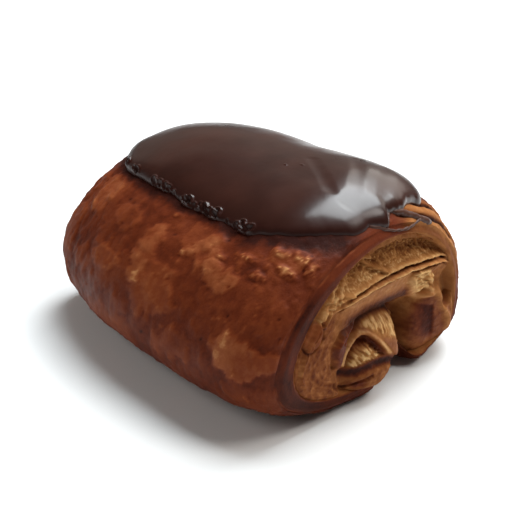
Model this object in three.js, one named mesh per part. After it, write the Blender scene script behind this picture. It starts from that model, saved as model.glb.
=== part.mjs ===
// Pain au chocolat: a sheet of laminated dough rolled in from both ends, so that a thick wrap
// arches over two rolls that lie side by side, baked on a flat tray and iced with chocolate on
// its back. X runs along the rolls, Y across them and Z up. The end that the photo shows faces
// +X. Left means the -Y side, and lengths are in millimetres.
import * as THREE from 'three';
import { mergeVertices } from 'three/addons/utils/BufferGeometryUtils.js';

// Sizes of the baked pastry.
const leftReach = 45;
const rightReach = 39.6;
const height = 50;
const girthHeight = 17.3; // where the sides bulge most
const middleHeight = 18; // the point that the end faces are drawn around
const leftDomePower = 1.74; // roundness of the back
const rightDomePower = 1.98;
const leftBellyPower = 2.36; // roundness under the girth
const rightBellyPower = 3.4;
const flattening = 1.3; // how much of the belly the tray has pressed flat

// Each end: where its rim stands, how the side rounds into it, and how the loaf narrows and sinks.
const nearEnd = {
  rimX: 46.7, edgeLength: 18, leftInset: 10.2, rightInset: 9.2,
  widthLoss: 0.05, heightLoss: -0.05, bottomRise: 4, lean: 0.04, setback: 1.5,
};
const farEnd = {
  rimX: 46.6, edgeLength: 11.2, leftInset: 4, rightInset: 4,
  widthLoss: 0.255, heightLoss: 0.19, bottomRise: 2, lean: 0.03, setback: 0.5,
};
const edgeTurn = 0.94; // share of a quarter turn that the side makes before the lip
const farReliefShare = 0.8; // the far face is the shallower one

// Groove under the loaf, between the two rolls; it widens under the near end.
const seam = { y: 8.4, halfWidth: 7.5, nearLeft: 12.5, nearRight: 9, depthMiddle: 4, depthEnd: 8.5 };

// What shows on an end face, from its rim to its middle.
const lip = { width: 2.8, rise: 1 }; // smooth edge of the outer wrap
const crumb = { depth: 1.3 }; // open crumb inside the lip
const arch = { y: -1, reachLeft: 31, reachRight: 32, height: 32.8, power: 3.5, ridge: 0.5 };
const wrap = { width: 9.5, depth: 5 }; // the inner wrap turns in under the arch
const crease = { depth: 1.8, halfWidth: 3.6 }; // round each roll
const leftRoll = { y: -1.8, z: 10.6, radiusY: 11.4, radiusZ: 11.2, stand: 3, rounding: 3.4 };
const rightRoll = { y: 22.3, z: 11.5, radiusY: 9, radiusZ: 13.2, stand: 0, rounding: 3.4 };
const undercut = { depth: 1.5, y: 24, halfWidth: 15, height: 13 }; // the right roll ends short of the left

// Chocolate icing: where it lies, by distance along the loaf and by angle round it from +Y.
const icing = {
  gap: 0.4, thickness: 2, edgeHeight: 0.9,
  x: 2, halfLength: 43.6, angle: 89, halfAngle: 44, squareness: 2.8, wave: 0.012,
  swell: { rise: 0.9, x: 36, halfLength: 26, angle: 66, halfAngle: 34 }, // where it lies thickest
};

// How finely the surfaces are faceted.
const pastryAround = 96;
const pastryRows = { farFace: 14, side: 18, nearFace: 26 };
const icingAround = 64;
const icingRows = 24;

const { clamp, lerp, degToRad } = THREE.MathUtils;
const smooth = (value, low, high) => THREE.MathUtils.smoothstep(value, low, high);
const hump = (distance, halfWidth) => Math.max(0, 1 - (distance / halfWidth) ** 2) ** 2;

// The larger of two heights, with the corner between them softened.
function softMax(a, b, softness) {
  const near = Math.max(0, softness - Math.abs(a - b)) / softness;
  return Math.max(a, b) + (near ** 2 * softness) / 4;
}

const endAt = (x) => (x > 0 ? nearEnd : farEnd);

// Share of the way from the middle of the loaf to an end's rim, 0 to 1.
const endShare = (x) => clamp(Math.abs(x) / endAt(x).rimX, 0, 1);

// Reach to each side, height and underside of the loaf at x.
function girthAt(x) {
  const end = endAt(x);
  const share = endShare(x);
  const turn = clamp((Math.abs(x) - (end.rimX - end.edgeLength)) / end.edgeLength, 0, 1) * edgeTurn;
  const rounding = 1 - Math.sqrt(1 - turn ** 2);
  const narrowing = 1 - end.widthLoss * share ** 2;
  return {
    left: leftReach * narrowing - end.leftInset * rounding,
    right: rightReach * narrowing - end.rightInset * rounding,
    top: height * (1 - end.heightLoss * share ** 2) - end.leftInset * rounding,
    bottom: end.bottomRise * rounding - flattening,
  };
}

// A point of the side: distance x along the loaf and an angle round it from +Y.
function sidePoint(x, angle) {
  const girth = girthAt(x);
  const share = endShare(x);
  const cos = Math.cos(angle);
  const sin = Math.sin(angle);
  const sideReach = cos > 0 ? girth.right : girth.left;
  const upReach = sin > 0 ? girth.top - girthHeight : girthHeight - girth.bottom;
  const turn = (cos + 1) / 2;
  const domePower = lerp(leftDomePower, rightDomePower, turn);
  const power = sin > 0 ? domePower : lerp(leftBellyPower, rightBellyPower, turn);
  const across = Math.abs(cos / sideReach) ** power;
  const up = Math.abs(sin / upReach) ** power;
  const radius = (across + up) ** (-1 / power);
  const y = radius * cos;
  let z = Math.max(girthHeight + radius * sin, 0);
  if (sin < 0) {
    const nearWidth = y < seam.y ? seam.nearLeft : seam.nearRight;
    const halfWidth = lerp(seam.halfWidth, nearWidth, x > 0 ? share ** 3 : 0);
    z += lerp(seam.depthMiddle, seam.depthEnd, share ** 3) * hump(y - seam.y, halfWidth);
  }
  return [x - Math.sign(x) * recess(endAt(x), y, z) * share ** 3, y, z];
}

// How far back an end's rim stands at (y, z).
function recess(end, y, z) {
  const low = hump(y - undercut.y, undercut.halfWidth) * (1 - smooth(z, 0, undercut.height));
  return end.lean * y + end.setback * smooth(y, 5, 36) + undercut.depth * low;
}

// Depth inside the arch that the inner wrap's upper edge makes on the face.
function insideArch(y, z) {
  const reach = y > arch.y ? arch.reachRight : arch.reachLeft;
  const across = Math.abs((y - arch.y) / reach) ** arch.power;
  const up = (Math.max(z, 0) / arch.height) ** arch.power;
  return (1 - (across + up) ** (1 / arch.power)) * arch.height;
}

// Distance of (y, z) from the middle of a roll, as a share of its radius.
const rollShare = (roll, y, z) => Math.hypot((y - roll.y) / roll.radiusY, (z - roll.z) / roll.radiusZ);

// How far the end face stands out from its rim at (y, z); edge is the distance in from the rim.
function faceRelief(y, z, edge) {
  const inLeft = rollShare(leftRoll, y, z);
  const inRight = rollShare(rightRoll, y, z);
  const inside = insideArch(y, z);
  const insideLip = smooth(edge, lip.width - 0.4, lip.width + 1.2);
  const lipTurn = 1 - clamp(edge / lip.width, 0, 1);
  let layers = lip.rise * Math.sqrt(1 - lipTurn ** 2);
  layers -= crumb.depth * insideLip * smooth(-inside, -1, 2.5);
  layers += arch.ridge * hump(inside - 0.8, 3) * insideLip * smooth(y, -24, -10);
  const gap = Math.min((inLeft - 1) * leftRoll.radiusY, (inRight - 1) * rightRoll.radiusY);
  layers -= crease.depth * hump(gap, crease.halfWidth) * insideLip;
  const wrapTurn = clamp((inside - 1) / wrap.width, 0, 1);
  layers -= wrap.depth * (1 - Math.sqrt(1 - wrapTurn ** 2)) * smooth(y, -16, -6) * insideLip;
  const left = leftRoll.stand - leftRoll.rounding * inLeft ** 4;
  const right = rightRoll.stand - rightRoll.rounding * inRight ** 4;
  return softMax(layers, softMax(left, right, 2), 3);
}

// A point of an end face: inward runs from 0 at the rim to 1 at the middle.
function facePoint(sign, inward, angle) {
  const end = endAt(sign);
  const [, rimY, rimZ] = sidePoint(sign * end.rimX, angle);
  const y = rimY * (1 - inward);
  const z = lerp(rimZ, middleHeight, inward);
  const edge = Math.hypot(rimY, rimZ - middleHeight) * inward;
  const widthShare = (1 - end.widthLoss) / (1 - nearEnd.widthLoss);
  const heightShare = (1 - end.heightLoss) / (1 - nearEnd.heightLoss);
  const relief = faceRelief(y / widthShare, z / heightShare, edge) * (sign > 0 ? 1 : farReliefShare);
  return [sign * (end.rimX - recess(end, y, z) + relief * smooth(edge, 0, 2)), y, z];
}

// The pastry's skin by row of facets, from the middle of the far face to that of the near face.
function pastryPoint(row, angle) {
  const { farFace, side, nearFace } = pastryRows;
  if (row < farFace) {
    return facePoint(-1, 1 - row / farFace, angle);
  }
  if (row > farFace + side) {
    return facePoint(1, (row - farFace - side) / nearFace, angle);
  }
  const along = (2 * (row - farFace)) / side - 1;
  const x = endAt(along).rimX * Math.sign(along) * Math.sin((Math.abs(along) * Math.PI) / 2) ** 0.9;
  return sidePoint(x, angle);
}

// A point at a given height over the side.
function overSide(x, angle, over) {
  const step = 1e-3;
  const at = new THREE.Vector3(...sidePoint(x, angle));
  const alongX = new THREE.Vector3(...sidePoint(x + step, angle)).sub(at);
  const round = new THREE.Vector3(...sidePoint(x, angle + step)).sub(at);
  return at.addScaledVector(round.cross(alongX).normalize(), over).toArray();
}

// The icing's skin: spread is the share of the way from its middle to its edge.
function icingPoint(turn, spread, isUpper) {
  const cos = Math.cos(turn);
  const sin = Math.sin(turn);
  const scallops = Math.sin(5 * turn + 0.6) + 0.7 * Math.sin(11 * turn) + 0.5 * Math.sin(17 * turn + 2);
  const { squareness } = icing;
  const bulge = (Math.abs(cos) ** squareness + Math.abs(sin) ** squareness) ** (-1 / squareness);
  const reach = spread * bulge * (1 + icing.wave * scallops);
  const x = icing.x + icing.halfLength * reach * cos;
  const angle = degToRad(icing.angle - icing.halfAngle * reach * sin);
  const swell = icing.swell.rise * hump(x - icing.swell.x, icing.swell.halfLength)
    * hump(angle - degToRad(icing.swell.angle), degToRad(icing.swell.halfAngle));
  const body = icing.thickness + swell - icing.edgeHeight;
  const upper = icing.edgeHeight + body * Math.sqrt(1 - spread ** 6);
  const lower = icing.edgeHeight * spread ** 12;
  return overSide(x, angle, icing.gap + (isUpper ? upper : lower));
}

// Splits each four-sided facet along the diagonal that climbs less in X, so that facets follow
// the relief of the end faces.
function splitAlongRelief(geometry) {
  const { index } = geometry;
  const { position } = geometry.attributes;
  const climb = (i, j) => Math.abs(position.getX(index.getX(i)) - position.getX(index.getX(j)));
  for (let i = 0; i + 5 < index.count; i += 3) {
    const isQuad = index.getX(i + 1) === index.getX(i + 3)
      && index.getX(i + 2) === index.getX(i + 5);
    if (isQuad && climb(i, i + 4) < climb(i + 1, i + 2)) {
      index.setX(i + 2, index.getX(i + 4));
      index.setX(i + 3, index.getX(i));
    }
    i += isQuad ? 3 : 0;
  }
}

// A closed surface that a ball is stretched into; place(u, v) says where each vertex goes.
function stretchedBall(around, rows, place) {
  const ball = new THREE.SphereGeometry(1, around, rows);
  const { position, uv } = ball.attributes;
  for (let i = 0; i < position.count; i += 1) {
    const isPole = uv.getY(i) < 1e-6 || uv.getY(i) > 1 - 1e-6;
    position.setXYZ(i, ...place(isPole ? 0 : uv.getX(i), uv.getY(i)));
  }
  ball.deleteAttribute('normal');
  ball.deleteAttribute('uv');
  splitAlongRelief(ball);
  const closed = mergeVertices(ball, 1e-4);
  closed.computeVertexNormals();
  return closed;
}

function pastryGeometry() {
  const rows = pastryRows.farFace + pastryRows.side + pastryRows.nearFace;
  return stretchedBall(pastryAround, rows, (u, v) => pastryPoint(rows * v, 2 * Math.PI * u));
}

function icingGeometry() {
  return stretchedBall(icingAround, icingRows, (u, v) => (
    icingPoint(2 * Math.PI * u, Math.sin(Math.PI * v), v > 0.5)
  ));
}

// The middle of the pastry's bounding box goes over the origin.
const pastrySkin = pastryGeometry();
const icingSkin = icingGeometry();
pastrySkin.computeBoundingBox();
const centre = pastrySkin.boundingBox.getCenter(new THREE.Vector3());
pastrySkin.translate(-centre.x, -centre.y, 0);
icingSkin.translate(-centre.x, -centre.y, 0);

export const pastry = new THREE.Mesh(
  pastrySkin,
  new THREE.MeshStandardMaterial({ color: 0x7a4325, roughness: 0.5, metalness: 0 }),
);
pastry.name = 'pastry';

export const icingLayer = new THREE.Mesh(
  icingSkin,
  new THREE.MeshStandardMaterial({ color: 0x2c1a14, roughness: 0.2, metalness: 0 }),
);
icingLayer.name = 'icing';

const model = new THREE.Group();
model.add(pastry, icingLayer);
export default model;
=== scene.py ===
import math
from types import SimpleNamespace

import bmesh
import bpy
import numpy as np
from mathutils import Matrix, Vector


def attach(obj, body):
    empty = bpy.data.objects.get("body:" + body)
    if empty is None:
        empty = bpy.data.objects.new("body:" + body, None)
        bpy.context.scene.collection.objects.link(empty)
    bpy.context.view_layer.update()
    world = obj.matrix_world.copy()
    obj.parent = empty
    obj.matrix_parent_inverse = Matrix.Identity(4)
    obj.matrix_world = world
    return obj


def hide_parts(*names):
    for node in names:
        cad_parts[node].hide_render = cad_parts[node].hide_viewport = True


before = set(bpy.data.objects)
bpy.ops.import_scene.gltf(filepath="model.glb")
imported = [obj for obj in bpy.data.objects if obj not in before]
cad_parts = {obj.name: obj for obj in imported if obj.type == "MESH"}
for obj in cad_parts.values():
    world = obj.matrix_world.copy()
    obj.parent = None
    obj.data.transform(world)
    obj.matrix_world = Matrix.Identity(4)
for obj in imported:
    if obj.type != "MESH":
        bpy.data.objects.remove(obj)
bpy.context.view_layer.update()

# The loaf's main shape, in millimetres, as its solid has it: X along the rolls, Y across them, Z up.
loaf = {
    "leftReach": 45, "rightReach": 39.6, "height": 50, "girthHeight": 17.3, "middleHeight": 18,
    "leftDomePower": 1.74, "rightDomePower": 1.98, "leftBellyPower": 2.36, "rightBellyPower": 3.4,
    "flattening": 1.3, "edgeTurn": 0.94, "toCentre": (-0.391, 2.7, 0),
}
nearEnd = {
    "rimX": 46.7, "edgeLength": 18, "leftInset": 10.2, "rightInset": 9.2, "widthLoss": 0.05,
    "heightLoss": -0.05, "bottomRise": 4, "lean": 0.04, "setback": 1.5,
}
farEnd = {
    "rimX": 46.6, "edgeLength": 11.2, "leftInset": 4, "rightInset": 4, "widthLoss": 0.255,
    "heightLoss": 0.19, "bottomRise": 2, "lean": 0.03, "setback": 0.5,
}
seam = {"y": 8.4, "halfWidth": 7.5, "nearLeft": 12.5, "nearRight": 9, "depthMiddle": 4, "depthEnd": 8.5}
notch = {"y": 9.5, "halfWidth": 8, "depth": 5}  # pushes the near lip in between the rolls
lip = {"width": 2.8, "rise": 1}
arch = {"y": -1, "reachLeft": 31, "reachRight": 32, "height": 32.8, "power": 3.5, "ridge": 0.5}
wrap = {"width": 9.5, "depth": 5, "crumbDepth": 1.3, "creaseDepth": 1.8, "creaseHalfWidth": 3.6}
leftRoll = {"y": -1.8, "z": 10.6, "radiusY": 11.4, "radiusZ": 11.2, "stand": 3, "rounding": 3.4}
rightRoll = {"y": 22.3, "z": 11.5, "radiusY": 9, "radiusZ": 13.2, "stand": 0, "rounding": 3.4}
undercut = {"depth": 1.5, "y": 24, "halfWidth": 15, "height": 13}


def smooth(value, low, high):
    share = np.clip((value - low) / (high - low), 0, 1)
    return share * share * (3 - 2 * share)


def lerp(a, b, share):
    return a + (b - a) * share


def hump(distance, halfWidth):
    return np.maximum(0, 1 - (distance / halfWidth) ** 2) ** 2


def softMax(a, b, softness):
    near = np.maximum(0, softness - np.abs(a - b)) / softness
    return np.maximum(a, b) + near ** 2 * softness / 4


dice = np.random.default_rng(5)
shuffled = dice.permutation(256)
slopes = dice.normal(size=(256, 3))
slopes /= np.linalg.norm(slopes, axis=1)[:, None]
middles = dice.uniform(size=(256, 3))


def cornerChance(cell):  # one fixed number, 0 to 255, for each corner of a grid
    x, y, z = cell[:, 0] & 255, cell[:, 1] & 255, cell[:, 2] & 255
    return shuffled[(shuffled[(shuffled[x] + y) & 255] + z) & 255]


def noiseAt(points, size, seed=0, octaves=1):  # soft chance, about -0.7 to 0.7; size is a patch's width
    at = points / size + np.array((3.71, 1.37, 7.13)) * seed
    total, strength = 0, 1
    for _ in range(octaves):
        cell = np.floor(at).astype(np.int64)
        part = at - cell
        fade = part ** 3 * (part * (part * 6 - 15) + 10)
        for corner in np.ndindex(2, 2, 2):
            weight = np.prod(np.where(corner, fade, 1 - fade), axis=1)
            slope = slopes[cornerChance(cell + corner)]
            total = total + strength * weight * ((part - corner) * slope).sum(axis=1)
        at, strength = at * 2.03 + 11.7, strength * 0.56
    return total


def cellsAt(points, size, seed=0):  # distance to the nearest cell's middle, and to its wall
    at = points / size + np.array((2.9, 5.3, 1.7)) * seed
    cell = np.floor(at).astype(np.int64)
    nearest = np.full(len(at), 9.0)
    second = np.full(len(at), 9.0)
    for corner in np.ndindex(3, 3, 3):
        other = cell + corner - 1
        distance = np.linalg.norm(other + middles[cornerChance(other)] - at, axis=1)
        second = np.minimum(second, np.maximum(nearest, distance))
        nearest = np.minimum(nearest, distance)
    return nearest, second - nearest


def curve(at, *points):  # height of a soft line through a few (across, up) points
    across, up = zip(*points)
    return sum(np.interp(at + step, across, up) for step in (-1.2, -0.4, 0.4, 1.2)) / 4


def lineGap(y, z, *points):  # distance from a line through a few points
    gap = np.full_like(y, 1e3)
    for (y0, z0), (y1, z1) in zip(points, points[1:]):
        dy, dz = y1 - y0, z1 - z0
        along = np.clip(((y - y0) * dy + (z - z0) * dz) / (dy * dy + dz * dz), 0, 1)
        gap = np.minimum(gap, np.hypot(y - y0 - along * dy, z - z0 - along * dz))
    return gap


def oval(y, z, middle, reach, turn=0):  # share of the way from an oval's middle to its edge
    cos, sin = math.cos(math.radians(turn)), math.sin(math.radians(turn))
    dy, dz = y - middle[0], z - middle[1]
    return np.hypot((dy * cos + dz * sin) / reach[0], (dz * cos - dy * sin) / reach[1])


def endValue(x, key):
    return np.where(x > 0, nearEnd[key], farEnd[key])


def recess(x, y, z):
    low = hump(y - undercut["y"], undercut["halfWidth"]) * (1 - smooth(z, 0, undercut["height"]))
    return endValue(x, "lean") * y + endValue(x, "setback") * smooth(y, 5, 36) + undercut["depth"] * low


def sidePoint(x, angle):
    rimX, edgeLength = endValue(x, "rimX"), endValue(x, "edgeLength")
    share = np.clip(np.abs(x) / rimX, 0, 1)
    turn = np.clip((np.abs(x) - (rimX - edgeLength)) / edgeLength, 0, 1) * loaf["edgeTurn"]
    rounding = 1 - np.sqrt(1 - turn ** 2)
    narrowing = 1 - endValue(x, "widthLoss") * share ** 2
    left = loaf["leftReach"] * narrowing - endValue(x, "leftInset") * rounding
    right = loaf["rightReach"] * narrowing - endValue(x, "rightInset") * rounding
    top = loaf["height"] * (1 - endValue(x, "heightLoss") * share ** 2) - endValue(x, "leftInset") * rounding
    bottom = endValue(x, "bottomRise") * rounding - loaf["flattening"]
    cos, sin = np.cos(angle), np.sin(angle)
    girth = loaf["girthHeight"]
    aside = (cos + 1) / 2
    dome = lerp(loaf["leftDomePower"], loaf["rightDomePower"], aside)
    power = np.where(sin > 0, dome, lerp(loaf["leftBellyPower"], loaf["rightBellyPower"], aside))
    reach = np.where(cos > 0, right, left)
    up = np.where(sin > 0, top - girth, girth - bottom)
    radius = (np.abs(cos / reach) ** power + np.abs(sin / up) ** power) ** (-1 / power)
    y, z = radius * cos, np.maximum(girth + radius * sin, 0)
    nearWidth = np.where(y < seam["y"], seam["nearLeft"], seam["nearRight"])
    halfWidth = lerp(seam["halfWidth"], nearWidth, np.where(x > 0, share ** 3, 0))
    depth = lerp(seam["depthMiddle"], seam["depthEnd"], share ** 3)
    z = z + np.where(sin < 0, depth * hump(y - seam["y"], halfWidth), 0)
    return np.stack([x - np.sign(x) * recess(x, y, z) * share ** 3, y, z], -1)


def insideArch(y, z):
    reach = np.where(y > arch["y"], arch["reachRight"], arch["reachLeft"])
    across = np.abs((y - arch["y"]) / reach) ** arch["power"]
    up = (np.maximum(z, 0) / arch["height"]) ** arch["power"]
    return (1 - (across + up) ** (1 / arch["power"])) * arch["height"]


def rollShare(roll, y, z):
    return np.hypot((y - roll["y"]) / roll["radiusY"], (z - roll["z"]) / roll["radiusZ"])


def faceHeight(y, z, edge):  # how far the end face stands out from its rim
    inLeft, inRight, inside = rollShare(leftRoll, y, z), rollShare(rightRoll, y, z), insideArch(y, z)
    insideLip = smooth(edge, lip["width"] - 0.4, lip["width"] + 1.2)
    lipTurn = 1 - np.clip(edge / lip["width"], 0, 1)
    layers = lip["rise"] * np.sqrt(1 - lipTurn ** 2)
    layers = layers - wrap["crumbDepth"] * insideLip * smooth(-inside, -1, 2.5)
    layers = layers + arch["ridge"] * hump(inside - 0.8, 3) * insideLip * smooth(y, -24, -10)
    gap = np.minimum((inLeft - 1) * leftRoll["radiusY"], (inRight - 1) * rightRoll["radiusY"])
    layers = layers - wrap["creaseDepth"] * hump(gap, wrap["creaseHalfWidth"]) * insideLip
    wrapTurn = np.clip((inside - 1) / wrap["width"], 0, 1)
    layers = layers - wrap["depth"] * (1 - np.sqrt(1 - wrapTurn ** 2)) * smooth(y, -16, -6) * insideLip
    left = leftRoll["stand"] - leftRoll["rounding"] * inLeft ** 4
    right = rightRoll["stand"] - rightRoll["rounding"] * inRight ** 4
    return softMax(layers, softMax(left, right, 2), 3)


def endFrame(sign, inward, angle):  # where a point of an end face lies, and how far in from the rim
    end = nearEnd if sign > 0 else farEnd
    rim = sidePoint(np.full_like(angle, sign * end["rimX"]), angle)
    y = rim[..., 1] * (1 - inward)
    z = lerp(rim[..., 2], loaf["middleHeight"], inward)
    radius = np.hypot(rim[..., 1], rim[..., 2] - loaf["middleHeight"])
    widthShare = (1 - end["widthLoss"]) / (1 - nearEnd["widthLoss"])
    heightShare = (1 - end["heightLoss"]) / (1 - nearEnd["heightLoss"])
    return y, z, radius * inward, y / widthShare, z / heightShare


def endX(sign, y, z, height, edge):
    end = nearEnd if sign > 0 else farEnd
    standing = height * smooth(edge, 0, 2)
    return sign * (end["rimX"] - recess(np.full_like(y, sign), y, z) + standing)


def finishMesh(bm, name):
    mesh = bpy.data.meshes.new(name)
    bm.to_mesh(mesh)
    bm.free()
    piece = bpy.data.objects.new(name, mesh)
    bpy.context.scene.collection.objects.link(piece)
    mesh.shade_smooth()
    return piece


def ball(name, around, rows):  # a ball with the row (0 to 1) and angle of each vertex
    bm = bmesh.new()
    bmesh.ops.create_cone(bm, cap_ends=True, cap_tris=True, segments=around, radius1=1, radius2=1, depth=2)
    upright = [edge for edge in bm.edges if abs(edge.verts[0].co.z - edge.verts[1].co.z) > 1]
    bmesh.ops.subdivide_edges(bm, edges=upright, cuts=rows - 3, use_grid_fill=True)
    piece = finishMesh(bm, name)
    at = coordinates(piece)
    ring = (1 + (at[:, 2] + 1) / 2 * (rows - 2)) / rows
    pole = np.hypot(at[:, 0], at[:, 1]) < 0.5
    return piece, np.where(pole, at[:, 2] > 0, ring), np.arctan2(at[:, 1], at[:, 0])


def coordinates(piece):
    at = np.empty(len(piece.data.vertices) * 3)
    piece.data.vertices.foreach_get("co", at)
    return at.reshape(-1, 3)


def normals(piece):
    at = np.empty(len(piece.data.vertices) * 3)
    piece.data.vertex_normals.foreach_get("vector", at)
    return at.reshape(-1, 3)


def setPlaces(piece, millimetres):
    piece.data.vertices.foreach_set("co", (millimetres / 1000).astype(np.float32).ravel())
    piece.data.update()


def paint(piece, **masks):  # one value for each vertex, for the materials to read
    for key, values in masks.items():
        layer = piece.data.attributes.new(key, "FLOAT", "POINT")
        layer.data.foreach_set("value", np.clip(values, 0, 1).astype(np.float32))


def place(piece, material, slot, *nodes):
    piece.data.materials.append(material)
    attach(piece, "root")
    if nodes:
        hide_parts(*nodes)


def tint(red, green, blue):  # screen colour, 0 to 255, as the shader's own
    parts = [c / 255 for c in (red, green, blue)]
    return [c / 12.92 if c <= 0.04045 else ((c + 0.055) / 1.055) ** 2.4 for c in parts] + [1]


def newMaterial(name):
    material = bpy.data.materials.new(name)
    material.use_nodes = True
    tree = material.node_tree
    return material, tree, tree.nodes["Principled BSDF"]


def addNode(tree, kind, inputs=(), **settings):
    node = tree.nodes.new(kind)
    for key, value in settings.items():
        setattr(node, key, value)
    for key, value in dict(inputs).items():
        if isinstance(value, bpy.types.NodeSocket):
            tree.links.new(value, node.inputs[key])
        else:
            node.inputs[key].default_value = value
    return node


def tonesRamp(tree, value, tones):
    ramp = addNode(tree, "ShaderNodeValToRGB", {"Fac": value})
    stops = ramp.color_ramp.elements
    stops[0].position, stops[0].color = tones[0][0], tint(*tones[0][1])
    stops[1].position, stops[1].color = tones[-1][0], tint(*tones[-1][1])
    for position, colour in tones[1:-1]:
        stops.new(position).color = tint(*colour)
    return ramp.outputs["Color"]


def vertexMask(tree, key):
    return addNode(tree, "ShaderNodeAttribute", attribute_name=key).outputs["Fac"]


def noiseMask(tree, where, size, detail, roughness=0.5):
    inputs = {"Vector": where, "Scale": 1 / size, "Detail": detail, "Roughness": roughness}
    return addNode(tree, "ShaderNodeTexNoise", inputs).outputs["Fac"]


def multiplyAdd(tree, value, factor, base):
    return addNode(tree, "ShaderNodeMath", {0: value, 1: factor, 2: base}, operation="MULTIPLY_ADD").outputs[0]


def mapMask(tree, value, low, high):
    return addNode(tree, "ShaderNodeMapRange", {"Value": value, "To Min": low, "To Max": high}).outputs[0]


def bumpNode(tree, strength, distance, height):
    return addNode(tree, "ShaderNodeBump", {"Strength": strength, "Distance": distance, "Height": height})


bake = {
    "crumbTones": [
        (0, (214, 172, 116)), (0.25, (170, 118, 68)), (0.5, (134, 84, 43)), (0.75, (96, 52, 25)), (1, (44, 18, 9)),
    ],
    "crustTones": [
        (0, (192, 136, 86)), (0.25, (140, 78, 45)), (0.5, (116, 54, 27)), (0.75, (90, 36, 16)), (1, (44, 14, 7)),
    ],
    "mottleSize": 0.0032, "grainSize": 0.0005, "mottle": 0.24, "grain": 0.18,
    "crumbRoughness": 0.85, "crustRoughness": 0.56, "patchyRoughness": 0.2, "glossRoughness": -0.22,
    "bump": 0.7, "grainHeight": 0.00016, "specular": 0.07, "glaze": 0.09, "glazeRoughness": 0.34,
}


def crustMaterial():
    material, tree, shader = newMaterial("bakedCrust")
    where = addNode(tree, "ShaderNodeTexCoord").outputs["Object"]
    tone, skin, gloss = (vertexMask(tree, key) for key in ("tone", "skin", "gloss"))
    mottle = noiseMask(tree, where, bake["mottleSize"], 4, 0.6)
    grain = noiseMask(tree, where, bake["grainSize"], 3, 0.65)
    level = multiplyAdd(tree, grain, bake["grain"], multiplyAdd(tree, mottle, bake["mottle"], tone))
    level = addNode(tree, "ShaderNodeMath", {0: level, 1: (bake["mottle"] + bake["grain"]) / 2}, operation="SUBTRACT")
    colour = addNode(tree, "ShaderNodeMix", {"Factor": skin}, data_type="RGBA")
    tree.links.new(tonesRamp(tree, level.outputs[0], bake["crumbTones"]), colour.inputs["A"])
    tree.links.new(tonesRamp(tree, level.outputs[0], bake["crustTones"]), colour.inputs["B"])
    rough = mapMask(tree, skin, bake["crumbRoughness"], bake["crustRoughness"])
    rough = multiplyAdd(tree, mottle, bake["patchyRoughness"], rough)
    rough = multiplyAdd(tree, gloss, bake["glossRoughness"], rough)
    glaze = addNode(tree, "ShaderNodeMath", {0: gloss, 1: bake["glaze"]}, operation="MULTIPLY")
    bump = bumpNode(tree, bake["bump"], bake["grainHeight"], grain)
    tree.links.new(colour.outputs["Result"], shader.inputs["Base Color"])
    tree.links.new(rough, shader.inputs["Roughness"])
    tree.links.new(bump.outputs[0], shader.inputs["Normal"])
    tree.links.new(glaze.outputs[0], shader.inputs["Coat Weight"])
    shader.inputs["Specular IOR Level"].default_value = bake["specular"]
    shader.inputs["Coat Roughness"].default_value = bake["glazeRoughness"]
    return material


chocolate = {
    "low": (38, 15, 9), "high": (50, 22, 14), "edge": (44, 17, 11), "cloudSize": 0.012, "cloudStops": (0.3, 0.7),
    "waveSize": 0.005, "waveHeight": 0.00012, "bump": 0.5, "roughness": 0.24, "edgeRoughness": 0.38,
    "cloudRoughness": 0.12, "specular": 0.2, "coat": 0.3, "coatRoughness": 0.2,
}
thinChocolate = {
    **chocolate, "low": (62, 34, 23), "high": (86, 52, 37), "edge": (60, 33, 23), "roughness": 0.36, "coat": 0.15,
}


def icingMaterial(name, values):
    material, tree, shader = newMaterial(name)
    where = addNode(tree, "ShaderNodeTexCoord").outputs["Object"]
    gloss = vertexMask(tree, "gloss")
    cloud = noiseMask(tree, where, values["cloudSize"], 3)
    wave = noiseMask(tree, where, values["waveSize"], 2)
    colour = addNode(tree, "ShaderNodeMix", {"Factor": gloss}, data_type="RGBA")
    colour.inputs["A"].default_value = tint(*values["edge"])
    tones = zip(values["cloudStops"], (values["low"], values["high"]))
    tree.links.new(tonesRamp(tree, cloud, list(tones)), colour.inputs["B"])
    rough = mapMask(tree, gloss, values["edgeRoughness"], values["roughness"])
    rough = multiplyAdd(tree, cloud, values["cloudRoughness"], rough)
    coat = addNode(tree, "ShaderNodeMath", {0: gloss, 1: values["coat"]}, operation="MULTIPLY")
    bump = bumpNode(tree, values["bump"], values["waveHeight"], wave)
    tree.links.new(colour.outputs["Result"], shader.inputs["Base Color"])
    tree.links.new(rough, shader.inputs["Roughness"])
    tree.links.new(bump.outputs[0], shader.inputs["Normal"])
    tree.links.new(coat.outputs[0], shader.inputs["Coat Weight"])
    shader.inputs["Specular IOR Level"].default_value = values["specular"]
    shader.inputs["Coat Roughness"].default_value = values["coatRoughness"]
    return material


crustLook = crustMaterial()
icingLook = icingMaterial("chocolateIcing", chocolate)
threadLook = icingMaterial("thinIcing", thinChocolate)
print("materials made")

# Where the icing lies: along X in millimetres, round the loaf in degrees from its right side.
icing = {
    "around": 620, "rows": 155, "belowShare": 0.24, "gap": 0.4, "sink": 0.5, "thickness": 2, "edgeHeight": 0.9,
    "farEdgeHeight": 2.4, "x": 2.2, "halfLength": 44.3, "angle": 89, "halfAngle": 43.5,
    "nearSquareness": 2.9, "backSquareness": 3.8, "farSquareness": 4.2,
    "wave": 0.01, "fineWave": 0.011, "bite": 0.055,
    "swellRise": 1.9, "swellX": 25, "swellHalfLength": 30, "swellAngle": 66, "swellHalfAngle": 34, "farRise": 1,
    "rippleHeight": 0.26, "creaseDepth": 0.7, "creaseHalfWidth": 3,
    "creases": (
        ((24, 70), (31, 80), (37, 92), (39, 101)), ((17, 84), (26, 92), (33, 99)), ((33, 66), (38, 76), (42, 84)),
    ),
    "bubbles": 40, "pimples": ((14, 94.5), (17.5, 90.5)), "pimpleRise": 0.25,
}


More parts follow.
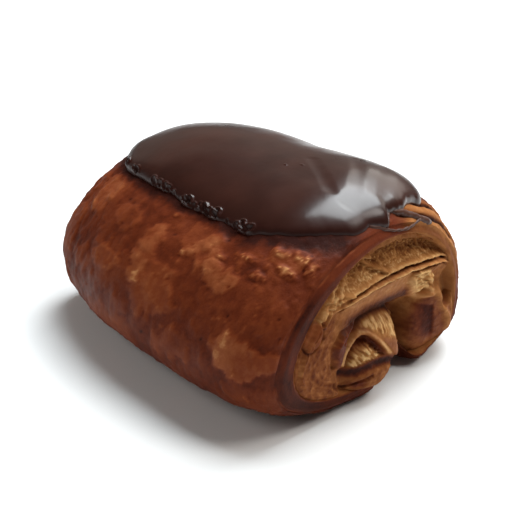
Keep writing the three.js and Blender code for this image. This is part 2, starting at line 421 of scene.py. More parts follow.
def icingSquareness(cos, sin):
    near = lerp(icing["nearSquareness"], icing["backSquareness"], smooth(sin, -0.2, 0.3))
    return lerp(near, icing["farSquareness"], smooth(-cos, 0, 0.6))


def icingShare(x, angle):  # 0 at the icing's middle, 1 at its edge
    across = (x - icing["x"]) / icing["halfLength"]
    around = (icing["angle"] - np.degrees(angle)) / icing["halfAngle"]
    length = np.maximum(np.hypot(across, around), 1e-6)
    power = icingSquareness(across / length, around / length)
    return (np.abs(across) ** power + np.abs(around) ** power) ** (1 / power)


crust = {
    "around": 380, "farRows": 28, "sideRows": 176, "nearRows": 54, "lumps": 0.4, "flakeRise": 0.15, "paler": 1.62,
    # baked patches: x, angle round the loaf, reach along, reach round, rise, how much paler
    "patches": [
        (25.5, 152, 5.5, 6.5, 0.28, 0.17), (8, 166, 9, 9, 0.22, 0.15), (0, 155, 4, 11, 0.25, 0.18),
        (-13, 165, 6, 6, 0.25, 0.12), (-30, 144, 4.5, 13, 0.25, 0.14), (-15, 148, 6, 5, 0.22, 0.12),
        (40, 173, 8, 5, 0.3, 0.2), (13, 141, 6, 8, 0.22, 0.14), (38, 134, 5, 4.5, 0.2, 0.14),
        (19, 146, 6, 8, 0.22, 0.13), (33, 144, 4.5, 5, 0, -0.07), (-38, 165, 5, 12, 0.25, 0.1),
        (-25, 170, 6, 5, 0.2, 0.08), (20, 178, 8, 5, 0.2, 0.1), (-5, 185, 10, 5, 0.2, 0.08),
        (20, 28, 9, 9, 0.25, 0.1), (-8, 38, 7, 6, 0.25, 0.09), (-26, 20, 7, 11, 0.25, 0.11),
        (4, 8, 9, 6, 0.22, 0.09), (34, 10, 6, 9, 0.25, 0.1), (-38, 40, 5, 6, 0.22, 0.09),
        (36, 40, 4, 5, 0.25, 0.12), (-12, 8, 8, 7, 0.2, 0.07), (10, 46, 9, 4, 0.2, 0.08),
        (22, -4, 9, 6, 0.2, 0.07), (-36, -2, 7, 7, 0.2, 0.08),
    ],
    # the near lip's width in millimetres at angles round the loaf
    "lipWidths": (
        (-30, 2.4), (60, 2.4), (90, 2.7), (115, 3.6), (140, 4.4),
        (165, 5.2), (190, 5.6), (215, 4.6), (260, 2.8), (330, 2.4),
    ),
    # small pale flakes: x, angle round the loaf, reach along, reach round
    "crests": [
        (40.4, 138.5, 4, 2.4), (36.5, 132.6, 3, 2.4), (41.6, 130.6, 4.2, 3.4), (35, 145, 3.2, 1.7),
        (30, 140.3, 2.6, 1.5), (23, 144.5, 1.8, 0.9), (11.5, 149.5, 1.2, 1.6), (2, 138.5, 1.1, 1.6),
        (44.2, 133.5, 1.2, 2.2), (27, 141.5, 1.1, 0.8),
    ],
}


def sideRelief(points, x, angle):
    turn = np.degrees(angle) % 360
    stretched = points * (1.25, 0.8, 0.8)
    ragged = noiseAt(points, 2.4, 15, 3)
    warpedX = x + 4 * noiseAt(points, 8, 11, 3) + 0.9 * ragged
    warpedTurn = turn + 6 * noiseAt(points, 8, 12, 3) + 1.5 * noiseAt(points, 2.4, 16, 3)
    uneven = 1 + 0.7 * noiseAt(points, 5, 17, 3)
    height = crust["lumps"] * noiseAt(stretched, 13, 13, 2)
    tone = 0.72 + 0.2 * noiseAt(stretched, 15, 14, 2)
    for x0, turn0, reach, reachTurn, rise, paler in crust["patches"]:
        inward = 1 - np.hypot((warpedX - x0) / reach, (warpedTurn - turn0) / reachTurn)
        mask = smooth(inward, 0, 0.1)
        # a pale flaky rim round each patch, partly a painted highlight on its raised edge
        flakeAndHighlight = hump(inward - 0.03, 0.07) * smooth(ragged, -0.05, 0.3)
        height = height + rise * mask + 0.14 * flakeAndHighlight
        tone = tone - crust["paler"] * paler * mask * uneven - 0.2 * flakeAndHighlight
    for seed, size, level in ((21, 10, 0.06), (22, 6, 0.16), (23, 3.4, 0.2)):
        mask = smooth(noiseAt(stretched, size, seed, 3), level, level + 0.04)
        height = height + crust["flakeRise"] * mask
        tone = tone - 0.06 * mask
    # pale flecks: raised flakes, partly painted as highlights; fine wrinkles are painted darker in their grooves as
    # shade
    flecks = smooth(noiseAt(points, 1.9, 31, 2), 0.34, 0.5)
    wrinkles = 1 - np.minimum(np.abs(noiseAt(points * (1, 0.7, 0.7), 2.6, 37, 3)) * 5, 1)
    height = height + 0.14 * flecks + 0.08 * noiseAt(points, 1.1, 32, 2) - 0.07 * wrinkles
    tone = tone - 0.26 * flecks * smooth(noiseAt(points, 9, 33), -0.1, 0.25) + 0.07 * wrinkles
    for x0, turn0, reach, reachTurn in crust["crests"]:
        inward = 1 - np.hypot((x - x0 + 0.9 * ragged) / reach, (warpedTurn * 0.35 + turn * 0.65 - turn0) / reachTurn)
        mask = smooth(inward, 0, 0.5)
        height = height + 0.45 * mask
        tone = tone - 0.62 * mask * smooth(noiseAt(points, 1.1, 36, 3), -0.4, 0.5)
    # small pits, sunk and painted darker inside as shade
    middle, _ = cellsAt(points, 4.4, 34)
    pit = smooth(-middle, -0.1, -0.05)
    share = icingShare(x, angle)
    cover = 1 - smooth(share, 0.98, 1.06)
    # crust soaked by the icing, and painted shade under the icing's edge
    soakedAndShaded = 1 - smooth(share + 0.06 * noiseAt(points, 4, 38, 2), 1.04, 1.15 + 0.09 * hump(x - 26, 22))
    height = (height - 0.22 * pit) * (1 - 0.55 * cover)
    tone = lerp(tone + 0.3 * pit, 1.04, 0.95 * soakedAndShaded) + 0.1 * smooth(points[:, 2], 12, 0)  # darker by the icing: crust soaked by it and painted shade under its edge; darker towards the bottom too
    gloss = 0.5 + 0.6 * noiseAt(points, 12, 35) + 0.5 * hump(np.hypot(x - 42, (turn - 156) * 0.6), 9)
    gloss = gloss * (1 - 0.8 * smooth(-x, 15, 38)) * smooth(points[:, 2], 0, 14) * (1 - 0.8 * soakedAndShaded)
    return height, tone, gloss


def lipLayers(fromRim, turn, points):  # two grooves between baked layers along the near rim's top right
    right = smooth(turn, 0, 22) * (1 - smooth(turn, 70, 84))
    sway = 1.6 * noiseAt(points, 11, 41, 2) + 0.35 * noiseAt(points, 2.5, 43)
    outer, inner = hump(fromRim - 5 + sway, 0.8), hump(fromRim - 1.6 + 0.6 * sway, 0.75)
    fold = hump(fromRim - 0.2 + 0.6 * sway, 1.2) + hump(fromRim - 3.4 + 0.8 * sway, 1.5)
    layers = 0.6 * fold - 1.7 * outer - 1.7 * inner * smooth(turn, 20, 36) + 0.3 * noiseAt(points, 1.6, 42, 2)
    return right * layers, right * (1 - smooth(fromRim + sway, 7, 9.5))


def lipWidth(turn):
    return curve(turn, *crust["lipWidths"])


# The far end: the near one's face, flatter and pulled a little out of line.
farFace = {"steps": 240, "margin": 1.9, "anchorDepth": 14, "flatter": 0.8, "pull": 2.6}


def makeLoaf():
    rows = crust["farRows"] + crust["sideRows"] + crust["nearRows"]
    piece, row, angle = ball("pastryBody", crust["around"], rows)
    row = row * rows
    points = np.empty((len(row), 3))
    far, near = row < crust["farRows"] - 0.01, row > crust["farRows"] + crust["sideRows"] + 0.01
    side = ~(far | near)
    along = 2 * (row - crust["farRows"]) / crust["sideRows"] - 1
    x = endValue(along, "rimX") * np.sign(along) * np.sin(np.clip(np.abs(along), 0, 1) * math.pi / 2) ** 0.9
    points[side] = sidePoint(x[side], angle[side])
    turn = np.degrees(angle)
    fromRim = np.where(along > 0, nearEnd["rimX"] - x, 99)
    for sign, chosen, share in (
        (-1, far, 1 - row / crust["farRows"]),
        (1, near, (row - crust["farRows"] - crust["sideRows"]) / crust["nearRows"]),
    ):
        inward = np.clip(share[chosen], 0, 1) ** 2.1
        y, z, edge, faceY, faceZ = endFrame(sign, inward, angle[chosen])
        width = lipWidth(turn[chosen] % 360) if sign > 0 else np.full_like(edge, lip["width"])
        edgeNoise = 0.55 * noiseAt(np.stack([0 * y, y, z], -1), 3.5, 51 + sign, 2)
        height = lip["rise"] * np.sqrt(1 - (1 - np.clip(edge / lip["width"], 0, 1)) ** 2)
        hidden = smooth(edge, width - 0.2 + edgeNoise, width + 1.3 + edgeNoise)
        flatter = 1 if sign > 0 else farFace["flatter"]
        deep = (faceHeight(faceY, faceZ, edge) - 2.6) * flatter - 2 * smooth(edge, 6, 9)
        height = lerp(height, np.minimum(deep, -2), hidden)
        points[chosen] = np.stack([endX(sign, y, z, height, edge), y, z], -1)
        x[chosen] = sign * endValue(sign, "rimX")
        fromRim[chosen] = -edge if sign > 0 else 99
    setPlaces(piece, points)
    height, tone, gloss = sideRelief(points, x, angle)
    layers, paleLip = lipLayers(fromRim, (turn + 90) % 360 - 90, points)
    onFace = (far | near).astype(float)
    fade = smooth(points[:, 2], 0, 2.5) * (1 - 0.75 * onFace)
    leftSide = smooth(turn % 360, 92, 112) * (1 - smooth(turn % 360, 215, 245))
    lipStep = fromRim + 0.4 + 0.4 * noiseAt(points, 5, 44, 2)
    streaks = noiseAt(np.stack([1.3 * fromRim, np.radians(turn) * 6, 0 * turn], -1), 2, 45, 2)
    height = height * fade * lerp(1, 0.35 + 0.65 * smooth(lipStep, 0, 0.6), leftSide) + 0.5 * layers
    height = height - 0.22 * leftSide * hump(lipStep - 0.3, 0.5) + 0.05 * streaks * leftSide
    points = points + normals(piece) * height[:, None]
    pushed = hump(points[:, 1] - notch["y"], notch["halfWidth"]) * (1 - smooth(points[:, 2], 8.5, 13.5))
    points[:, 0] -= notch["depth"] * pushed * smooth(points[:, 0], 36, 45)
    points[:, 2] = np.maximum(points[:, 2], 0)
    leftLip = (1 - smooth(lipStep, 0, 0.5)) * leftSide
    topLip = (1 - smooth(fromRim, 1, 5)) * smooth(turn, 60, 90) * (1 - smooth(turn, 100, 118))
    tone = lerp(tone, 0.9 + 0.22 * streaks - 0.24 * smooth(turn % 360, 150, 112), 0.9 * leftLip)
    # a thin pale line along the step at the lip's edge: a painted highlight
    tone = tone - 0.3 * leftSide * hump(lipStep - 0.05, 0.36) * smooth(noiseAt(points, 3, 46), -0.3, 0.2)
    tone = lerp(tone, 0.56, 0.7 * topLip)
    # the pale top-right lip, painted darker in its grooves and lighter on its folds as shade and light
    tone = lerp(tone, 0.58 - 0.5 * layers, 0.85 * paleLip)
    inner = smooth(-fromRim - lipWidth(turn % 360), -0.5, 0.1) * near
    tone = lerp(tone, 0.22, 0.7 * inner)
    # painted shade low down between the rolls
    tone = lerp(tone, 0.95, hump(points[:, 1] - seam["y"], 10) * (1 - smooth(points[:, 2], 5, 10)) * near)
    skin = 1 - 0.75 * paleLip - 0.6 * inner * (1 - paleLip)
    setPlaces(piece, points + loaf["toCentre"])
    paint(piece, tone=tone, skin=skin, gloss=gloss)
    place(piece, crustLook, "crust", "pastry")
    print("loaf made,", len(piece.data.polygons), "faces")


makeLoaf()

# The end face that the photo shows, in millimetres. Lines are (y, z) points, and ovals are a middle, two
# reaches and a turn in degrees.
nearFace = {
    "steps": 300, "overlap": 0.9, "anchorDepth": 12,
    "bandEdge": (
        (-31, 22), (-26, 31), (-20, 36), (-15, 38.6), (-10, 40.2), (-4, 40.9),
        (4, 41), (9, 40.6), (14, 39.2), (19, 36), (24, 31.8), (29, 25),
    ),
    "ridge": (
        (-30, 18), (-24, 27), (-18, 31.4), (-12, 32.3), (-5, 33.2),
        (3, 33.6), (10, 33.3), (16, 32.4), (22, 31.2), (29, 27),
    ),
    "strands": (((-6.3, 41), (-5.4, 38.4), (-3, 36.2), (0.5, 34.6)), ((13.5, 40), (14.5, 37), (15.5, 34))),
    "pores": (((4.4, 40.1), (1.5, 0.9)), ((0.8, 39.8), (1.1, 0.7))),
    "cornerLine": ((-22, 30), (-19.5, 33), (-15.5, 33.2), (-12, 32.4)),
    "cornerTuft": ((-18, 31.9), (3.2, 1.3), 12),
    "blister": ((-25, 26), (3.4, 3.9), 18),
    "rim": (
        (-13.4, 13.2), (-12.6, 15.4), (-11.2, 17.6), (-9.3, 19.5), (-7.6, 20.3), (-6, 20.1),
        (-4.6, 19), (-3, 17.2), (-1.4, 15.2), (0.4, 12.8), (1.8, 10.8),
    ),
    "lobeTop": (
        (-16.5, 13.8), (-14, 12.2), (-12, 11.7), (-9, 12), (-5.7, 12.5), (-1.5, 12.1), (1.1, 11.5), (4, 10.2),
    ),
    "pocket": ((-12.6, 18.4), (5.8, 6.8), -40),
    "pocketCrease": ((-11, 23.6), (-15, 23.2), (-17.6, 20), (-17.6, 15)),
    "lobe": ((-4, 8), (10, 4)),
    "lobeShade": ((-12.4, 10), (4, 1.2), -8),
    "lobeFlap": ((-17.2, 9.6), (-15, 7.2), (-12.4, 6.6), (-9, 7.6), (-5.6, 8.4)),
    "redSpot": ((-9.2, 6.9), (2.8, 1.9)),
    "hollow": ((8.7, 14.6), (6, 9.4), 14),
    "tuft": ((13.8, 27), (5.4, 3.6), -32),
    "comb": ((17.6, 25), (4.2, 1.9), -48),
    "rightFlap": ((9.2, 29), (10, 25.6), (12.4, 22.8), (16, 20.8), (19, 21)),
    "rightBody": ((20.4, 11), (7.4, 9.4)),
    "rightRidge": ((18.6, 21.4), (21.2, 21), (23.6, 18), (24.8, 14), (26.4, 10), (27.4, 7.4)),
    "rightHollow": ((26.3, 21), (3.1, 7.2), -12),
}


def blend(look, mask, **values):  # draws tone, skin or gloss to a value where the mask is 1
    for key, value in values.items():
        setattr(look, key, lerp(getattr(look, key), value, mask))


def addCrumbBand(look, at):  # open crumb between the outer wrap and the edge of the inner one
    y, z, flat = at.y, at.z, at.flat
    sides = smooth(y, -21, -12) * (1 - smooth(y, 17, 26))
    hollow = smooth(at.depth, 0, 0.2) * (1 - smooth(at.depth, 0.3, 1))
    zone = smooth(at.depth, 0.02, 0.14) * (1 - smooth(z - at.ridge, 0.3, -0.2))
    zone = zone * smooth(y, -23, -17) * (1 - smooth(y, 22, 27))
    pores = smooth(0.45 - at.cellGap, 0, 0.4) * smooth(noiseAt(flat, 4, 66, 2), 0, 0.3)
    threads = np.clip(1 - np.abs(noiseAt(at.torn * (1, 1, 0.7), 0.95, 78, 3)) * 3, 0, 1) ** 2
    specks = smooth(noiseAt(flat, 0.7, 80), 0.2, 0.45)
    look.height -= 2.7 * hollow * sides
    look.height += zone * (0.25 * at.web + 0.26 * threads + 0.16 * specks - 0.7 * pores)
    # pores and the hollow under the band are painted darker as shade; the crumb lower down towards the ridge is
    # painted lighter, as if lit from above
    tone = 0.54 - 0.12 * at.web - 0.3 * threads - 0.32 * specks + 0.2 * pores + 0.14 * hollow + 0.2 * at.wobble
    blend(look, zone, tone=tone - 0.2 * smooth(at.depth, 0.45, 0.95), skin=0.05)
    long, short = (lineGap(*at.wobbly, *line) for line in nearFace["strands"])
    strands = np.maximum(hump(long, 0.75), 0.6 * hump(short, 0.7))
    look.height += 1.4 * strands
    blend(look, strands, tone=0.3)
    large, small = (hump(oval(y, z, *pore), 1) for pore in nearFace["pores"])
    pore = np.maximum(large, 0.8 * small)
    # the two large pores are sunk and painted darker as shade
    look.height -= 1.3 * pore
    look.tone += 0.3 * pore


def addGoldenStrands(look, at):  # strands with long holes, just inside the lip at the upper left
    y, turn, fromLip = at.y, at.turn, at.fromLip
    zone = smooth(y, -31, -28) * (1 - smooth(y, -15, -11)) * smooth(at.z, 24, 28) * smooth(at.depth, 0.25, -0.1)
    _, wall = cellsAt(np.stack([0 * y, at.around * 0.34, fromLip * 1.05], -1), 1.15, 67)
    slit = smooth(wall, 0.32, 0.5) * zone * smooth(noiseAt(at.flat, 3, 79), -0.2, 0.1)
    # the slits are sunk and painted dark as shade in their holes
    look.height += 0.35 * zone - 1.3 * slit
    blend(look, zone, tone=0.34 + 0.12 * at.fine + 0.6 * slit)
    outer = hump(fromLip - 2.1 + 1.1 * noiseAt(at.flat, 4, 91), 0.8)
    outer = outer * smooth(turn, 95, 112) * (1 - smooth(turn, 178, 196))
    inner = hump(fromLip - 3.6 + 1.6 * noiseAt(at.flat, 5, 92), 0.65)
    inner = inner * smooth(turn, 118, 130) * (1 - smooth(turn, 165, 178))
    line = np.maximum(outer, 0.8 * inner)
    look.height += 1.1 * line
    blend(look, 0.9 * line, tone=0.08)
    blend(look, line, skin=0.2)


def addWrapEdge(look, at):  # the inner wrap's edge: two thin flaky lines over a pale sharp one, with dark slots painted as shade and a painted highlight on the sharp line
    y, flat, over = at.y, at.flat, at.z - at.ridge
    reach = smooth(y, -19, -12) * (1 - smooth(y, 23, 28))
    ragged = 0.22 * noiseAt(flat, 1.1, 68, 2) + 0.25 * noiseAt(flat, 4, 69)
    upper, lower = hump(over - 0.1 + ragged, 0.55), hump(over + 1.35 + ragged, 0.5)
    slots = hump(over + 0.62 + ragged, 0.5) * smooth(noiseAt(flat * (1, 0.45, 1), 1.6, 70), -0.25, 0.05)
    lowSlots = hump(over + 2.1 + ragged, 0.4) * smooth(noiseAt(flat * (1, 0.4, 1), 1.5, 87), -0.2, 0.1)
    shine = hump(over + 1.55 + ragged, 0.45) * (1 - smooth(y, 8, 14)) * smooth(noiseAt(flat, 2.4, 71), -0.45, -0.05)
    look.height += reach * (0.7 * upper + lower - 1.1 * slots - 0.7 * lowSlots)
    blend(look, reach * hump(over + 0.6, 2.2), tone=0.5)
    blend(look, 0.9 * reach * upper, tone=0.12)
    blend(look, 0.9 * reach * lower, tone=0.16)
    # slots painted dark as shade; shine is a painted highlight
    blend(look, 0.95 * reach * slots, tone=1)
    blend(look, 0.9 * reach * lowSlots, tone=0.9)
    blend(look, reach * shine, tone=-0.1)
    corner = hump(lineGap(y, at.z, *nearFace["cornerLine"]), 0.6)
    look.height += 0.6 * corner
    blend(look, 0.7 * corner, tone=0.22)
    tuft = 1 - smooth(oval(*at.wobbly, *nearFace["cornerTuft"]), 0.75, 1.1)
    look.height += tuft * (0.6 * at.web - 0.5)
    blend(look, tuft, tone=0.32 - 0.3 * at.web)


def addInnerWrap(look, at):  # smooth, painted lighter above as if lit and darker where it turns under as painted shade
    zone = smooth(at.ridge - at.z, 1.8, 2.6) * smooth(at.z, 19, 22)
    zone = zone * smooth(at.y, -17, -11) * (1 - smooth(at.y, 9, 12))
    look.height += 0.1 * at.streaks * zone
    blend(look, zone, tone=lerp(0.3, 0.9, smooth(at.z, 28.4, 24.8)) + 0.14 * at.streaks, skin=0.45, gloss=0.6)


def addLeftWrap(look, at):  # striated, with a flat blister
    zone = (1 - smooth(at.y, -19, -16)) * (1 - smooth(at.z, 27, 31))
    grooves = noiseAt(np.stack([0 * at.y, at.fromLip * 1.6, at.around * 0.22], -1), 2, 73, 3)
    look.height += zone * (0.16 * grooves + 0.1 * at.fine)
    blend(look, zone, tone=0.56 + 0.26 * grooves + 0.2 * at.fine, skin=0.5)
    blister = oval(*at.wobbly, *nearFace["blister"])
    onTop = 1 - smooth(blister, 0.86, 1)
    look.height += 0.5 * onTop * (1 - 0.5 * blister ** 2) - 0.5 * hump(blister - 1.1, 0.16)
    blend(look, 0.8 * onTop, tone=0.5)
    blend(look, onTop, skin=0.75)
    # the blister's rim is painted dark as shade on its lower left and pale as a painted highlight along its top
    look.tone += 0.3 * hump(blister - 1.1, 0.16) * smooth(at.y, -22, -27)
    look.tone -= 0.25 * hump(blister - 1.12, 0.14) * smooth(at.z, 27.5, 29)


def addLeftRollTop(look, at):  # dark glossy crust on its left, partly painted shade, with painted glints; a pale tuft and a brown shoulder on its right
    y, z, flat = at.y, at.z, at.flat
    above = smooth(z - at.rimTop, -0.2, 0.2) * smooth(at.rimGap, 0.5, 0.9)
    pocket = smooth(1 - oval(*at.wobbly, *nearFace["pocket"]), 0, 0.4)
    pocket = pocket * (1 - smooth(y + 0.3 * (z - 20), -8.4, -6.8))
    pocket = pocket * np.where(y < -13, smooth(z, 12.5, 13.5) * smooth(at.rimGap, 0.4, 0.8), above)
    glints = smooth(noiseAt(flat, 1.2, 88, 2), 0.2, 0.4)
    look.height += pocket * (1.1 * smooth(at.rimGap, 0.8, 2.4) + 0.22 * glints)
    look.height -= 0.9 * hump(lineGap(y, z, *nearFace["pocketCrease"]), 1.1)
    # the pocket is painted dark, part crust colour and part painted shade, with its glints as painted highlights
    blend(look, 0.95 * pocket, tone=0.78 - 0.3 * glints)
    blend(look, pocket, skin=1, gloss=1)
    share = rollShare(leftRoll, y, z)
    tuft = above * smooth(y, -8.5, -5.5) * (1 - smooth(y, 2.5, 4)) * smooth(z + 0.5 * y, 16, 18.5)
    tuft = tuft * (1 - smooth(share, 1.02, 1.12))
    shoulder = above * smooth(y, -5, -1) * (1 - smooth(y, 2.5, 5.5)) * (1 - tuft) * (1 - smooth(share, 0.96, 1.1))
    pulled = noiseAt(np.stack([0 * y, 1.5 * y, 0.4 * z], -1), 1, 89, 3)
    look.height += tuft * (0.3 + 0.7 * pulled) + 0.5 * shoulder
    blend(look, 0.9 * shoulder, tone=0.46 + 0.2 * noiseAt(flat, 2.6, 74, 2))
    blend(look, shoulder, skin=0.6, gloss=0.8)
    blend(look, tuft, tone=0.16 - 0.6 * pulled, skin=0.15)


def addOpening(look, at):  # the left roll's thin arched rim, over an opening full of fibres
    y, z, flat = at.y, at.z, at.flat
    rim = hump(at.rimGap, 1.1) * (1 - 0.65 * smooth(y, -4, 0.5))
    look.height += 0.8 * rim
    blend(look, hump(at.rimGap, 1), tone=0.12 + 0.3 * noiseAt(flat, 2, 90))
    blend(look, rim, skin=0.55, gloss=1)
    opening = smooth(at.rimTop - z, 0.5, 1.2) * smooth(z - at.lobeTop, -0.1, 0.7)
    opening = opening * smooth(y, -13, -11.6) * (1 - smooth(y, -2.4, 0.8))
    fibres = noiseAt(np.stack([0 * y, y + 0.6 * z, (z - 0.3 * y) * 0.42], -1), 0.85, 75, 2)
    # under the rim the opening is sunk and painted dark as shade
    under = smooth(at.rimTop - z + 0.7 * noiseAt(flat, 1.6, 96, 2), 4.4, 2.4)
    look.height -= opening * (0.6 + 2.2 * under * (1 - 0.6 * smooth(y, -6, -1)) - 1.5 * np.abs(fibres))
    blend(look, opening, tone=lerp(0.16 - 0.8 * fibres, 0.78, under), skin=0.85 * under, gloss=0.4)


def addLobe(look, at):  # the left roll's lower part, with a dark band over it
    y, z = at.y, at.z
    band = hump(z - at.lobeTop + 1.1, 2.1) * smooth(y, -17, -14) * (1 - smooth(y, 1, 5))
    look.height -= 0.6 * band
    blend(look, 0.95 * band, tone=1.04)
    blend(look, band, skin=1)
    lobe = smooth(at.lobeTop - 2.2 - z, 0, 0.9) * smooth(y, -18, -15) * (1 - smooth(y, 6, 9))
    shade = hump(oval(y, z, *nearFace["lobeShade"]), 1)
    look.height += lobe * 0.5 * hump(oval(y, z, *nearFace["lobe"]), 1)
    blend(look, 0.85 * lobe, tone=0.46 + 0.24 * at.wobble + 0.16 * at.fine + 0.3 * shade)
    blend(look, lobe, skin=0.4)
    flap = lineGap(*at.wobbly, *nearFace["lobeFlap"])
    look.height -= 0.6 * hump(flap, 0.7)
    # the flap's groove is painted darker as shade
    look.tone += 0.22 * hump(flap, 0.8)
    spot = hump(oval(*at.wobbly, *nearFace["redSpot"]), 1)
    look.height -= 0.5 * spot
    blend(look, 0.8 * spot, tone=0.86)
    blend(look, spot, skin=1)


def addHollow(look, at):  # the hollow between the rolls, painted dark as shade, and painted shade low down between them
    hollow = smooth(1 - oval(*at.wobbly, *nearFace["hollow"]), 0, 0.55)
    look.height -= 4.2 * hollow
    blend(look, 0.9 * hollow, tone=0.74 + 0.14 * at.streaks)
    blend(look, hollow, skin=0.4)
    blend(look, hump(at.y - 10, 6) * (1 - smooth(at.z, 3, 9)), tone=0.62, skin=0.4)


def addRightRollTop(look, at):  # a crumb tuft, combed on its right, and a folded flap
    tuft = 1 - smooth(oval(*at.wobbly, *nearFace["tuft"]), 0.8, 1.1)
    look.height += tuft * (0.9 + 0.6 * at.cells)
    blend(look, tuft, tone=0.26 - 0.36 * at.cells, skin=0)
    comb = 1 - smooth(oval(at.y, at.z, *nearFace["comb"]), 0.8, 1.15)
    teeth = np.sin((0.62 * at.y + 0.78 * at.z + 0.5 * at.wobble) * 2 * math.pi / 1.7)
    look.height += comb * (0.8 + 0.35 * teeth)
    blend(look, comb, tone=0.2 - 0.14 * teeth)
    flap = hump(lineGap(*at.wobbly, *nearFace["rightFlap"]), 1.5)
    look.height += 0.9 * flap
    blend(look, 0.8 * flap, tone=0.12)
    blend(look, flap, gloss=0.7)


def addRightRollBody(look, at):  # a dark strip down its middle, a pale ridge, and a hollow on its right painted dark as shade
    y, z = at.y, at.z
    body = 1 - smooth(oval(y, z, *nearFace["rightBody"]), 0.8, 1.1)
    blend(look, 0.85 * body, tone=0.66 + 0.2 * at.wobble + 0.1 * at.fine)
    blend(look, body, skin=0.7, gloss=0.5)
    blend(look, body * smooth(z, 9, 5), tone=0.4)
    stripY, stripZ = y + 0.25 * at.fine + 0.1 * (z - 13), z + 0.3 * (y - 18.6) + 0.4 * at.wobble
    strip = smooth(stripY, 14, 19.6) * (1 - smooth(stripY, 21, 21.6))
    strip = strip * smooth(stripZ, 7, 10) * (1 - smooth(stripZ, 17, 18.2))
    look.height -= 0.4 * strip
    blend(look, strip, tone=0.93 - 0.08 * at.fine, skin=1, gloss=0)
    ridge = lineGap(*at.wobbly, *nearFace["rightRidge"])
    look.height += hump(ridge, 1.9)
    blend(look, 0.8 * hump(ridge, 2.2), tone=0.24)
    blend(look, hump(ridge, 2.2), skin=0.3)
    # the hollow is sunk and painted dark as shade
    hollow = smooth(1 - oval(*at.wobbly, *nearFace["rightHollow"]), 0, 0.5)
    look.height -= 3.6 * hollow
    blend(look, 0.8 * hollow, tone=0.76)
    blend(look, 0.6 * smooth(y, 26.5, 29) * smooth(z, 4, 9), tone=0.4 + 0.12 * at.streaks)


def nearRelief(y, z, edge, turn):
    flat = np.stack([np.zeros_like(y), y, z], -1)
    at = SimpleNamespace(
        y=y, z=z, flat=flat, turn=turn, fromLip=edge - lipWidth(turn), around=np.radians(turn) * 26,
        wobble=noiseAt(flat, 6, 61, 2), fine=noiseAt(flat, 1.3, 64, 2),
        streaks=noiseAt(flat * (1, 0.25, 1.4), 2.2, 72, 2),
        wobbly=(y + 0.9 * noiseAt(flat, 5, 62, 2), z + 0.7 * noiseAt(flat, 5, 63, 2)),
        ridge=curve(y, *nearFace["ridge"]), lobeTop=curve(y, *nearFace["lobeTop"]),
        rimTop=curve(y, *nearFace["rim"]), rimGap=lineGap(y, z, *nearFace["rim"]),
    )
    bandEdge = curve(at.wobbly[0], *nearFace["bandEdge"])
    at.depth = (bandEdge - at.wobbly[1]) / np.maximum(bandEdge - at.ridge, 1)  # 0 to 1 down the crumb band
    at.torn = np.stack([0 * y, y * 0.62 + z * 0.35 + 0.5 * at.fine, z * 1.15 - y * 0.2 + 0.5 * at.wobble], -1)
    at.cellGap, wall = cellsAt(at.torn, 1.7, 65)
    at.cells = np.exp(-wall * 6)
    at.web = at.cells * smooth(noiseAt(flat, 1.5, 77, 2), -0.5, 0.2)
    look = SimpleNamespace(
        height=faceHeight(y, z, np.maximum(edge, 4.2)), tone=0.46 + 0.12 * at.wobble,
        skin=np.full_like(y, 0.25), gloss=np.full_like(y, 0.25),
    )
    for addForm in (
        addCrumbBand, addGoldenStrands, addWrapEdge, addInnerWrap, addLeftWrap, addLeftRollTop,
        addOpening, addLobe, addHollow, addRightRollTop, addRightRollBody,
    ):
        addForm(look, at)
    look.height += 0.14 * at.fine + 0.12 * noiseAt(flat, 3, 76, 2)
    look.tone += 0.16 * at.fine
    return look


def faceGrid(name, sign, sizes, margin, relief):  # an end face, closed by a cone to a point inside the loaf
    bm = bmesh.new()
    bmesh.ops.create_grid(bm, x_segments=sizes["steps"], y_segments=sizes["steps"], size=1)
    border = [edge for edge in bm.edges if edge.is_boundary]
    walls = bmesh.ops.extrude_edge_only(bm, edges=border)["geom"]
    anchor = [v for v in walls if isinstance(v, bmesh.types.BMVert)]
    bmesh.ops.pointmerge(bm, verts=anchor, merge_co=(0, 0, -9))
    bmesh.ops.recalc_face_normals(bm, faces=bm.faces)
    piece = finishMesh(bm, name)
    at = coordinates(piece)
    isAnchor = at[:, 2] < -1
    u, v = at[:, 0], at[:, 1]
    across, up = u * np.sqrt(1 - v * v / 2), v * np.sqrt(1 - u * u / 2)
    radius, angle = np.clip(np.hypot(across, up), 0, 1), np.arctan2(up, across)
    _, _, whole, _, _ = endFrame(sign, np.ones_like(angle), angle)
    rim = margin(np.degrees(angle) % 360) / whole
    y, z, edge, faceY, faceZ = endFrame(sign, 1 - radius * (1 - rim), angle)
    look = relief(faceY, faceZ, edge, np.degrees(angle) % 360)
    tucked = smooth(edge - rim * whole, 1.9, 0)
    height = look.height * (1 if sign > 0 else farFace["flatter"]) - 1.7 * tucked ** 2
    points = np.stack([endX(sign, y, z, height, edge + 2), y, z], -1)
    points[isAnchor] = (sign * (nearEnd["rimX"] - sizes["anchorDepth"]), 2, 20)
    if sign < 0:
        piece.data.flip_normals()
    setPlaces(piece, points + loaf["toCentre"])
    paint(piece, tone=look.tone, skin=look.skin, gloss=look.gloss)
    place(piece, crustLook, "crust", "pastry")
    print(name, "made,", len(piece.data.polygons), "faces")


faceGrid("nearFace", 1, nearFace, lambda turn: lipWidth(turn) - nearFace["overlap"], nearRelief)


def farRelief(y, z, edge, turn):  # the same roll seen from its other end, pulled a little out of line
    flat = np.stack([np.zeros_like(y), y, z], -1)
    y = y + farFace["pull"] * noiseAt(flat, 13, 81, 2)
    z = z + farFace["pull"] * 0.7 * noiseAt(flat, 13, 82, 2)
    look = nearRelief(y, z, edge, turn)
    look.height += 0.3 * noiseAt(flat, 4, 83, 2)
    look.tone += 0.2 * noiseAt(flat, 8, 84, 2)
    return look


faceGrid("farFace", -1, farFace, lambda turn: farFace["margin"] + 0 * turn, farRelief)


